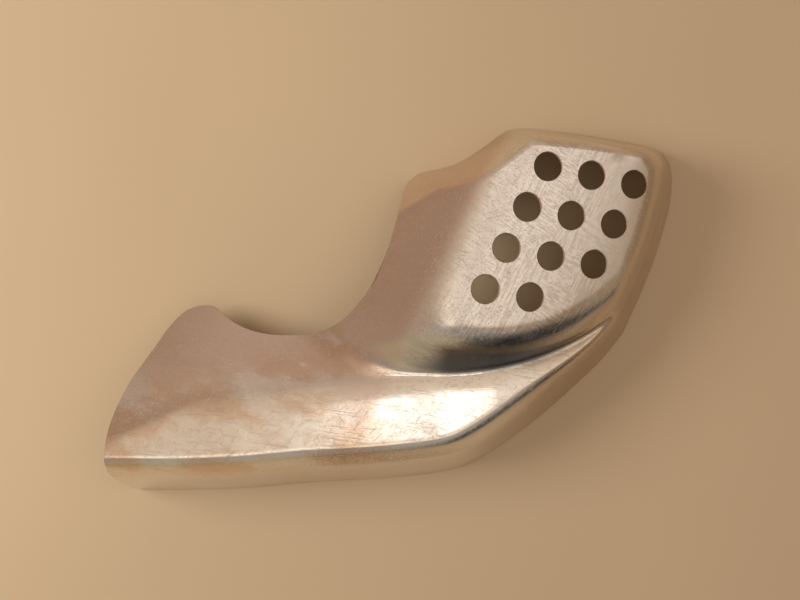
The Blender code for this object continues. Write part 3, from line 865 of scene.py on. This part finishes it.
@dataclass
class HeatGuard:
    """The formed aluminium sheet, with rounded cut edges, deburred vents and small dents."""

    form: GuardForm
    vents: Vents
    sheet: float = 1.6
    edge_round: float = 0.4
    inside: float = 0.05  # room left between the sheet and the box of the CAD node
    columns: int = 330
    rows: int = 190
    edge_steps: int = 4
    dents: tuple[Dent, ...] = (
        Dent((118.0, 80.0), 10.0, 8.0, 3.0, 0.35),
        Dent((-62.0, -52.0), 35.0, 14.0, 6.0, 0.16),
        Dent((-96.0, -36.0), -20.0, 10.0, 6.0, 0.18),
        Dent((-20.0, -18.0), 70.0, 12.0, 5.0, 0.20),
        Dent((40.0, -78.0), 20.0, 16.0, 5.0, 0.20),
        Dent((104.0, -22.0), 45.0, 14.0, 5.0, 0.22),
        Dent((138.0, 40.0), 80.0, 18.0, 4.0, 0.30),
    )

    def build(self, finish: bpy.types.Material) -> bpy.types.Object:
        """Makes the sheet.

        Args:
            finish: Its material.

        Returns:
            The object.
        """
        plan = self._plan()
        outer = np.dstack([plan, self.form.height(plan[..., 0], plan[..., 1])])
        outer[:, 0, 2] = 0
        outer[-1, :, 2] = 0
        on_floor = outer[..., 2] < 0.02
        outer[on_floor, 2] = 0
        normals = self._normals(plan)
        outer = outer - self._unevenness(outer)[..., None] * normals
        outer[on_floor, 2] = 0
        flat = np.linalg.norm(normals[..., :2], axis=2)
        sideways = np.where(on_floor, 1 / np.maximum(flat, 0.2), 1)[..., None]
        inner = outer - self.sheet * normals * sideways
        inner[on_floor, 2] = 0
        guard = make_object("heat_guard", self._closed(outer, inner), finish)
        cut(guard, self.vents.cutter(self.form, self.sheet))
        shade(guard, 32.0)
        return guard

    def _plan(self) -> np.ndarray:
        """Plan positions of a grid between the four edges, finer towards them."""
        front_curve, right_curve, north_curve, left_curve = self.form.edges()
        s, t = self._shares(self.columns, 0.75), self._shares(self.rows, 0.75)
        front, north = along(front_curve, s)[:, None], along(north_curve, s)[:, None]
        left, right = along(left_curve, t)[None], along(right_curve, t)[None]
        s, t = s[:, None, None], t[None, :, None]
        ruled = (1 - t) * front + t * north
        left_bow = left - ((1 - t) * front[:1] + t * north[:1])
        right_bow = right - ((1 - t) * front[-1:] + t * north[-1:])
        plan = ruled + (1 - s) * left_bow + s * right_bow
        plan[..., 0] = np.maximum(plan[..., 0], self.form.left + self.inside)
        return plan

    @staticmethod
    def _shares(count: int, push: float) -> np.ndarray:
        """Shares from 0 to 1 that lie closer together at both ends."""
        t = np.linspace(0, 1, count)
        return t - push * np.sin(2 * math.pi * t) / (2 * math.pi)

    def _normals(self, plan: np.ndarray, step: float = 0.2) -> np.ndarray:
        """Outward unit normals of the sheet, taken a little inside its edges.

        Args:
            plan: Grid of plan positions in mm.
            step: Distance in mm over which each slope is measured.

        Returns:
            A grid of unit vectors.
        """
        inward = self._edge_inward(np.dstack([plan, np.zeros(plan.shape[:2])]))
        x, y = (plan[..., k] + 3 * step * inward[..., k] for k in (0, 1))
        slopes = [
            (self.form.height(x - dx, y - dy) - self.form.height(x + dx, y + dy)) / (2 * step)
            for dx, dy in ((step, 0.0), (0.0, step))
        ]
        normals = np.dstack([*slopes, np.ones_like(x)])
        return normals / np.linalg.norm(normals, axis=2, keepdims=True)

    def _unevenness(self, points: np.ndarray) -> np.ndarray:
        """How far the hand-formed face lies inside its smooth shape, in mm. It is never outside."""
        x, y, z = (points[..., k] for k in range(3))
        long_wave = np.sin(x / 17.0 + 1.3 * np.sin(y / 23.0)) * np.sin(y / 14.0 + z / 19.0)
        short_wave = np.sin(x / 6.1 + 2.0 * np.sin(z / 13.0)) * np.sin(z / 7.3 + y / 8.9)
        uneven = self.inside + 0.06 * (1 + long_wave) + 0.012 * (1 + short_wave)
        return uneven + sum(dent.depth_at(x, y) for dent in self.dents)

    def _closed(self, outer: np.ndarray, inner: np.ndarray) -> bpy.types.Mesh:
        """Mesh between the two faces, closed round its edge by a rounded rim."""
        columns, rows = outer.shape[:2]
        inward = self._edge_inward(outer)
        through = inner - outer
        through /= np.linalg.norm(through, axis=2, keepdims=True)
        ring = self._ring(columns, rows)
        outer, inner = outer.copy(), inner.copy()
        corner = np.array([outer[k] + (inward[k] + through[k]) * self.edge_round for k in ring])
        low_corner = np.array([inner[k] + (inward[k] - through[k]) * self.edge_round for k in ring])
        rims = []
        for centre, first in ((corner, 1.0), (low_corner, -1.0)):
            for step in range(self.edge_steps + 1):
                angle = math.pi / 2 * (step if first > 0 else self.edge_steps - step) / self.edge_steps
                out = -np.array([inward[k] for k in ring]) * math.sin(angle)
                up = -np.array([through[k] for k in ring]) * math.cos(angle) * first
                rims.append(centre + (out + up) * self.edge_round)
        for face, rim in ((outer, rims[0]), (inner, rims[-1])):
            for k, point in zip(ring, rim):
                face[k] = point
        index = np.arange(columns * rows).reshape(columns, rows)
        quads = grid_faces(columns, rows)
        count = columns * rows
        faces = [tuple(reversed(quad)) for quad in quads] + [tuple(k + count for k in quad) for quad in quads]
        loops = [[int(index[k]) for k in ring]]
        base, size = 2 * count, len(ring)
        for level in range(len(rims) - 2):
            loops.append(list(range(base + level * size, base + (level + 1) * size)))
        loops.append([int(index[k]) + count for k in ring])
        for high, low in zip(loops, loops[1:]):
            for k in range(size):
                n = (k + 1) % size
                faces.append((high[k], high[n], low[n], low[k]))
        points = np.vstack([outer.reshape(-1, 3), inner.reshape(-1, 3), *rims[1:-1]])
        points[:, 2] = np.maximum(points[:, 2], 0)
        return mesh_of("heat_guard", points, faces)

    @staticmethod
    def _ring(columns: int, rows: int) -> list[tuple[int, int]]:
        """Grid places round the edge, in order."""
        ring = [(0, j) for j in range(rows)]
        ring += [(i, rows - 1) for i in range(1, columns)]
        ring += [(columns - 1, j) for j in range(rows - 2, -1, -1)]
        return ring + [(i, 0) for i in range(columns - 2, 0, -1)]

    @staticmethod
    def _edge_inward(points: np.ndarray) -> np.ndarray:
        """Unit directions along the sheet from each edge point towards the sheet's inside."""
        inward = np.zeros_like(points)
        inward[0] += points[2] - points[0]
        inward[-1] += points[-3] - points[-1]
        inward[:, 0] += points[:, 2] - points[:, 0]
        inward[:, -1] += points[:, -3] - points[:, -1]
        length = np.linalg.norm(inward, axis=2, keepdims=True)
        return inward / np.maximum(length, 1e-9)


# ---------------------------------------------------------------- clamps


@dataclass
class PipeClamp:
    """A worm-drive clamp and the bridge that holds it to the sheet."""

    name: str
    ring: Matrix
    worm: Matrix
    pipe_diameter: float = 38.0
    fit: float = 0.3
    band_width: float = 12.0
    band_thickness: float = 0.8
    band_play: float = 0.4
    band_lap: float = 32.0
    housing_angle: float = -6.0
    strap_width: float = 12.0
    strap_thickness: float = 1.5
    strap_foot: float = 9.0
    strap_gap: float = 0.5
    worm_radius: float = 3.6
    worm_core: float = 2.9
    worm_pitch: float = 2.4
    worm_turns: int = 6
    housing_length: float = 15.0
    housing_wall: float = 1.0
    head_across_flats: float = 7.0
    head_length: float = 4.0
    head_slot: float = 1.2
    groove_depth: float = 0.3
    groove_count: int = 44
    band_steps: int = 720
    band_columns: int = 24
    screw_sides: int = 48
    collar_stand: float = 1.2  # how far each collar stands out past the ribs
    collar_length: float = 1.2
    collar_round: float = 0.2
    weld_radius: float = 6.0
    weld_depth: float = 0.3
    weld_spread: float = 3.0  # from the strap's middle line to each weld

    @classmethod
    def from_joints(cls, name: str, joints: dict[str, dict]) -> "PipeClamp":
        """Clamp placed by its two joints in the frame."""
        swivel, turn = joints[f"{name}_clamp_swivel"], joints[f"{name}_worm_turn"]
        pipe, centre = Vector(swivel["axis"]).normalized(), Vector(swivel["pos_m"])
        worm_axis, worm_centre = Vector(turn["axis"]).normalized(), Vector(turn["pos_m"])
        radial = worm_centre - centre
        radial = (radial - pipe * radial.dot(pipe)).normalized()
        across = Matrix.Rotation(-math.radians(cls.housing_angle), 3, pipe) @ radial
        up = pipe.cross(across)
        ring = Matrix((pipe, across, up)).transposed().to_4x4()
        side = radial.cross(worm_axis)
        worm = Matrix((radial, -side, worm_axis)).transposed().to_4x4()
        return cls(name, Matrix.Translation(centre) @ ring, Matrix.Translation(worm_centre) @ worm)

    def strap_sag(self) -> float:
        """How far the round band falls over half the strap's width."""
        return (self.strap_width / 2) ** 2 / self.pipe_diameter

    def ring_radius(self) -> float:
        """Inner radius of the band, which holds the pipe and the strap."""
        held = self.pipe_diameter + self.strap_thickness + self.strap_sag()
        return (held + self.fit + self.band_play) / 2

    def sheet_above_ring(self) -> float:
        """Height of the sheet's inner face above the pipe's axis."""
        return self.band_play + self.fit + self.band_thickness + self.ring_radius()

    def build(self, steels: "dict[Steel, bpy.types.Material]") -> None:
        """Makes the four pieces and sets each in the place of its node.

        Args:
            steels: The material of each kind of steel.
        """
        made = (
            (self._bridge(steels[Steel.BRIDGE]), "guard", "bridge", Steel.BRIDGE),
            (self._band(steels[Steel.BAND]), f"{self.name}_clamp", "band", Steel.BAND),
            (self._housing(steels[Steel.HOUSING]), f"{self.name}_clamp", "worm_housing", Steel.HOUSING),
            (self._screw(steels[Steel.SCREW]), f"{self.name}_worm", "worm_screw", Steel.SCREW),
        )
        for piece, body, node, steel in made:
            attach(piece, body)
            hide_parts(f"{self.name}_{node}")
            LOG.info("%s: %d faces on %s", piece.name, len(piece.data.polygons), body)

    def _bridge(self, finish: bpy.types.Material) -> bpy.types.Object:
        """Joggled strap with a spot-welded foot at each end, which the band passes over."""
        half_band = self.band_width / 2 + 1.5
        top = self.sheet_above_ring() - self.strap_gap
        drop = self.band_play + self.fit + self.band_thickness + self.strap_sag() + self.fit
        low = self.sheet_above_ring() - drop
        ramp = half_band + 3.0
        end = ramp + self.strap_foot
        upper = [(-end, top), (-ramp, top), (-half_band, low)]
        upper += [(-x, z) for x, z in reversed(upper)]
        shift = self.strap_thickness * math.tan(math.atan2(top - low, ramp - half_band) / 2)
        lower = [(end, top), (ramp - shift, top), (half_band - shift, low)]
        lower = [(x, z - self.strap_thickness) for x, z in lower]
        lower += [(-x, z) for x, z in reversed(lower)]
        outline = upper + lower
        half = self.strap_width / 2
        points = [(x, side * half, z) for side in (-1, 1) for x, z in outline]
        name = f"{self.name}_clamp_bridge"
        mesh = mesh_of(name, points, prism_faces(len(outline)))
        bridge = make_object(name, mesh, finish, self.ring)
        for side in (-1, 1):
            for offset in (-self.weld_spread, self.weld_spread):
                centre = (side * (ramp + self.strap_foot / 2), offset, top - self.strap_thickness)
                cut(bridge, self._weld_mark(centre))
        bevel(bridge, 0.3)
        return bridge

    def _weld_mark(self, centre: tuple[float, float, float]) -> bpy.types.Object:
        """Shallow round hollow that a spot weld leaves, as a cutter."""
        mark = bmesh.new()
        radius, depth = self.weld_radius, self.weld_depth
        place = self.ring @ Matrix.Translation(Vector(centre) * MM - Vector((0, 0, (radius - depth) * MM)))
        bmesh.ops.create_uvsphere(mark, u_segments=32, v_segments=24, radius=radius * MM, matrix=place)
        data = bpy.data.meshes.new("weld_mark")
        mark.to_mesh(data)
        mark.free()
        return make_object("weld_mark", data, None)

    def _band(self, finish: bpy.types.Material) -> bpy.types.Object:
        """Grooved strip that runs once round and laps over itself under the worm."""
        around, across = self.band_steps, self.band_columns
        start = math.radians(self.housing_angle - self.band_lap)
        sweep = 2 * math.pi + 2 * math.radians(self.band_lap)
        turned = np.linspace(0, sweep, around)[:, None]
        begin = 2 * math.pi - 0.5
        raised = (self.band_thickness + self.fit) * ease(turned, begin, begin + 0.45)
        x = np.linspace(-1, 1, across)[None, :] * self.band_width / 2
        edge = 0.15 * ease(np.abs(x), self.band_width / 2 - 0.3, self.band_width / 2)
        outer = self.ring_radius() + self.band_thickness + raised - edge - self._groove(turned, x)
        inner = self.ring_radius() + raised + edge
        shells = []
        for radius in (outer, inner):
            angle = start + turned + 0 * x
            radius = radius + 0 * angle
            shells.append(np.dstack([x + 0 * angle, radius * np.cos(angle), radius * np.sin(angle)]))
        loop = np.concatenate([shells[0], shells[1][:, ::-1]], axis=1)
        wide = 2 * across
        faces = grid_faces(around, wide, close_columns=True)
        last = (around - 1) * wide
        for base, turn in ((0, 1), (last, -1)):
            for j in range(across - 1):
                quad = (base + j, base + j + 1, base + wide - 2 - j, base + wide - 1 - j)
                faces.append(quad[::turn])
        name = f"{self.name}_clamp_band"
        band = make_object(name, mesh_of(name, loop.reshape(-1, 3), faces), finish, self.ring)
        shade(band, 40.0)
        return band

    def _groove(self, turned: np.ndarray, x: np.ndarray) -> np.ndarray:
        """Depth of the slanted grooves that the worm's thread runs in."""
        share = turned * self.groove_count / (2 * math.pi) + x / 14.0
        place = np.abs(share - np.round(share))
        inside = 1 - ease(np.abs(x), self.band_width / 2 - 3.2, self.band_width / 2 - 2.6)
        return self.groove_depth * (1 - ease(place, 0.16, 0.26)) * inside

    def _housing(self, finish: bpy.types.Material) -> bpy.types.Object:
        """Pressed barrel round the worm, with a cheek down each side of the band."""
        inner_half = self.band_width / 2 + self.fit
        outer_half = inner_half + self.housing_wall
        foot = self.ring_radius()
        shelf = foot + 2 * self.band_thickness + 2.5 * self.fit
        centre = foot + 2 * self.band_thickness + 2 * self.fit + self.worm_radius
        bore = self.worm_radius + self.fit
        barrel = bore + self.housing_wall
        mouth = -math.degrees(math.asin((centre - shelf) / bore))

        def arc(radius: float, first: float, last: float, steps: int) -> list[Point]:
            """Points of an arc about the worm's axis."""
            angles = np.radians(np.linspace(first, last, steps))
            return [(radius * math.cos(a), centre + radius * math.sin(a)) for a in angles]

        outline = [(outer_half, foot), (outer_half, shelf + self.housing_wall)]
        outline += arc(barrel, 0, 180, 33)
        outline += [(-outer_half, shelf + self.housing_wall), (-outer_half, foot)]
        outline += [(-inner_half, foot), (-inner_half, shelf)]
        outline += arc(bore, 180 - mouth, mouth, 41)
        outline += [(inner_half, shelf), (inner_half, foot)]
        half = self.housing_length / 2
        points = [(r, -w, side * half) for side in (-1, 1) for w, r in outline]
        name = f"{self.name}_clamp_housing"
        place = self.worm @ Matrix.Translation((-centre * MM, 0, 0))
        housing = make_object(name, mesh_of(name, points, prism_faces(len(outline))), finish, place)
        bevel(housing, 0.22, 3, 35.0)
        return housing

    def _screw(self, finish: bpy.types.Material) -> bpy.types.Object:
        """Worm with a true helical thread, a collar at each end and a slotted hexagon head."""
        neck = self.housing_length / 2 + self.fit
        collar, collar_length = self.worm_radius + self.collar_stand, self.collar_length
        round_edge = self.collar_round
        ends = [(0.0, neck + collar_length), (collar - round_edge, neck + collar_length)]
        ends += [(collar, neck + collar_length - round_edge), (collar, neck + round_edge)]
        ends += [(collar - round_edge, neck), (self.worm_core, neck)]
        thread_end = self.worm_turns * self.worm_pitch / 2
        middle = [(None, z) for z in np.linspace(thread_end, -thread_end, 30 * self.worm_turns)]
        profile = ends + middle + [(r, -z) for r, z in reversed(ends)]
        sides = self.screw_sides
        angles = np.linspace(0, 2 * math.pi, sides, endpoint=False)
        rows = []
        for r, z in profile:
            radius = np.full(sides, 0.0 if r is None else max(r, 0.001))
            if r is None:
                phase = z / self.worm_pitch - angles / (2 * math.pi)
                rib = 1 - ease(np.abs(phase - np.round(phase)), 0.12, 0.34)
                fade = float(ease(thread_end - abs(z), 0.0, 1.2))
                radius = self.worm_core + (self.worm_radius - self.worm_core) * rib * fade
            rows.append(np.stack([radius * np.cos(angles), radius * np.sin(angles), z + 0 * angles], axis=1))
        faces = grid_faces(len(rows), sides, close_columns=True)
        name = f"{self.name}_clamp_screw"
        screw = make_object(name, mesh_of(name, np.concatenate(rows), faces, True), finish, self.worm)
        self._add_head(screw, neck + collar_length / 2)
        shade(screw, 38.0)
        return screw

    def _add_head(self, screw: bpy.types.Object, start: float) -> None:
        """Joins a rounded hexagon head to the worm and cuts its driver slot."""
        end = start + self.head_length
        radius = self.head_across_flats / math.sqrt(3)
        head = bmesh.new()
        bmesh.ops.create_cone(
            head,
            cap_ends=True,
            segments=6,
            radius1=radius * MM,
            radius2=radius * MM,
            depth=self.head_length * MM,
            matrix=Matrix.Translation((0, 0, -(start + end) / 2 * MM)),
        )
        bmesh.ops.bevel(
            head, geom=head.edges[:], offset=0.25 * MM, segments=3, profile=0.5, affect="EDGES"
        )
        slot = bmesh.new()
        size = (self.head_slot * MM, 3 * radius * MM, 3.0 * MM, 1)
        bmesh.ops.create_cube(
            slot, size=1, matrix=Matrix.Translation((0, 0, -end * MM)) @ Matrix.Diagonal(size)
        )
        for operation, part in (("UNION", head), ("DIFFERENCE", slot)):
            data = bpy.data.meshes.new("screw_cutter")
            part.to_mesh(data)
            part.free()
            cut(screw, make_object("screw_cutter", data, None, self.worm), operation)


class Steel(Enum):
    """Kinds of steel in the clamps, each with its own finish."""

    BRIDGE = "bridge_steel"
    BAND = "band_steel"
    HOUSING = "housing_steel"
    SCREW = "screw_steel"

    def finish(self) -> ClampSteel:
        """The steel's colours and roughness."""
        dark, light, straw = (0.46, 0.45, 0.45), (0.66, 0.66, 0.67), (0.52, 0.43, 0.32)
        choices = {
            Steel.BRIDGE: ClampSteel("clamp_bridge_steel", (0.55, 0.54, 0.54), straw, 0.40),
            Steel.BAND: ClampSteel("clamp_band_steel", light, straw, 0.30),
            Steel.HOUSING: ClampSteel("clamp_housing_steel", (0.60, 0.60, 0.61), dark, 0.34),
            Steel.SCREW: ClampSteel("clamp_screw_steel", (0.70, 0.69, 0.66), dark, 0.28),
        }
        return choices[self]


# ---------------------------------------------------------------- studio


@dataclass(frozen=True)
class SoftBox:
    """A soft elliptical lamp that faces a point above the floor."""

    name: str
    place: tuple[float, float, float]  # metres
    size: Point  # metres
    power: float
    colour: Colour
    mirrored: bool = True  # whether polished faces show it

    def build(self, aim: Vector) -> None:
        """Adds the lamp."""
        data = bpy.data.lights.new(self.name, "AREA")
        data.shape = "ELLIPSE"
        data.size, data.size_y = self.size
        data.energy = self.power
        data.color = self.colour
        lamp = bpy.data.objects.new(self.name, data)
        bpy.context.scene.collection.objects.link(lamp)
        lamp.location = self.place
        lamp.visible_glossy = self.mirrored
        lamp.rotation_mode = "QUATERNION"
        lamp.rotation_quaternion = (aim - Vector(self.place)).to_track_quat("-Z", "Y")


@dataclass(frozen=True)
class RoomGlow:
    """A soft patch of light or dark in the room round the guard."""

    direction: tuple[float, float, float]
    start: float  # degrees from the direction at which the patch has faded out
    full: float  # degrees within which it is full
    colour: Colour


@dataclass
class Studio:
    """Plain floor, two lamps, the room's light and the camera straight above."""

    camera_height: float = 0.620
    view_width: float = 0.456
    floor_half: float = 3.0  # metres, half the side of the floor
    floor_gap: float = 0.0002  # metres, so that the rim doesn't cut the floor
    room: Colour = (0.38, 0.265, 0.19)
    floor_colour: Colour = (0.62, 0.49, 0.335)
    glows: tuple[RoomGlow, ...] = (
        RoomGlow((0.0, -0.75, 0.66), 45.0, 15.0, (0.34, 0.30, 0.27)),
        RoomGlow((-0.30, -0.95, 0.0), 45.0, 15.0, (0.42, 0.34, 0.22)),
        RoomGlow((0.62, -0.78, 0.0), 44.0, 18.0, (0.07, 0.066, 0.062)),
        RoomGlow((0.0, 0.90, 0.44), 40.0, 15.0, (0.52, 0.39, 0.30)),
        RoomGlow((0.92, -0.05, 0.40), 38.0, 16.0, (0.30, 0.21, 0.13)),
        RoomGlow((0.0, 0.02, 1.0), 34.0, 14.0, (0.66, 0.51, 0.37)),
        RoomGlow((0.38, 0.10, 0.92), 26.0, 6.0, (0.92, 0.78, 0.66)),
        RoomGlow((-0.10, -0.30, 0.95), 16.0, 6.0, (1.25, 1.05, 0.82)),
    )
    boxes: tuple[SoftBox, ...] = (
        SoftBox("top_lamp", (-0.012, -0.006, 1.20), (0.17, 0.08), 0.13, (1.0, 0.96, 0.92)),
        SoftBox("left_lamp", (-0.75, 0.15, 0.60), (0.5, 0.5), 5.6, (1.0, 0.95, 0.86), False),
    )

    def build(self) -> None:
        """Makes the floor, the lamps, the room's light and the camera."""
        centre = Vector((0.0, 0.0, 0.03))
        self._floor()
        self._room_light()
        for lamp in self.boxes:
            lamp.build(centre)
        self._camera()
        scene = bpy.context.scene
        scene.view_settings.view_transform = "Standard"
        scene.view_settings.look = "None"

    def _floor(self) -> None:
        """Plain pale floor just under the rim."""
        half, below = self.floor_half, -self.floor_gap
        corners = ((-half, -half), (half, -half), (half, half), (-half, half))
        data = bpy.data.meshes.new("floor")
        data.from_pydata([(x, y, below) for x, y in corners], [], [(0, 1, 2, 3)])

        def dress(graph: Graph) -> dict[str | int, object]:
            cloud = graph.noise(graph.position(), 3.0, 2.0)
            shade_of = tuple(value * 0.94 for value in self.floor_colour)
            colour = graph.blend(cloud.rise(0.3, 0.7), self.floor_colour, shade_of)
            return {"Base Color": colour, "Roughness": 0.55}

        floor = make_object("floor", data, surface("pale_floor", dress))

    def _room_light(self) -> None:
        """World colour that changes softly with direction."""
        world = bpy.data.worlds.new("room")
        bpy.context.scene.world = world
        world.use_nodes = True
        graph = Graph(world.node_tree)
        direction = graph.node("ShaderNodeTexCoord", output="Generated")
        colour: Colour | Signal = self.room
        for glow in self.glows:
            toward = tuple(Vector(glow.direction).normalized())
            near = graph.node(
                "ShaderNodeVectorMath", {0: direction, 1: toward}, "Value", operation="DOT_PRODUCT"
            )
            low, high = (math.cos(math.radians(angle)) for angle in (glow.start, glow.full))
            colour = graph.blend(near.rise(low, high), colour, glow.colour)
        background = graph.node("ShaderNodeBackground", {"Color": colour, "Strength": 1.0})
        graph.node("ShaderNodeOutputWorld", {"Surface": background})

    def _camera(self) -> None:
        """Camera that looks straight down at the middle of the guard."""
        data = bpy.data.cameras.new("camera")
        data.sensor_width = 36.0
        data.lens = data.sensor_width * self.camera_height / self.view_width
        data.clip_start = 0.01
        camera = bpy.data.objects.new("camera", data)
        bpy.context.scene.collection.objects.link(camera)
        camera.location = (0.0, 0.005, self.camera_height)
        bpy.context.scene.camera = camera


def main() -> None:
    """Builds the guard, its clamps and the studio in order."""
    logging.basicConfig(level=logging.INFO, format="%(name)s: %(message)s")
    form = GuardForm.from_frame("guard_shell")
    guard = HeatGuard(form, Vents()).build(HandPolishedAluminium().build(form))
    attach(guard, "guard")
    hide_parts("guard_shell")
    LOG.info("%s: %d faces", guard.name, len(guard.data.polygons))
    steels = {steel: steel.finish().build() for steel in Steel}
    joints = {joint["name"]: joint for joint in frame["joints"]}
    for name in ("front", "middle", "rear"):
        PipeClamp.from_joints(name, joints).build(steels)
    Studio().build()


if __name__ == "__main__":
    main()
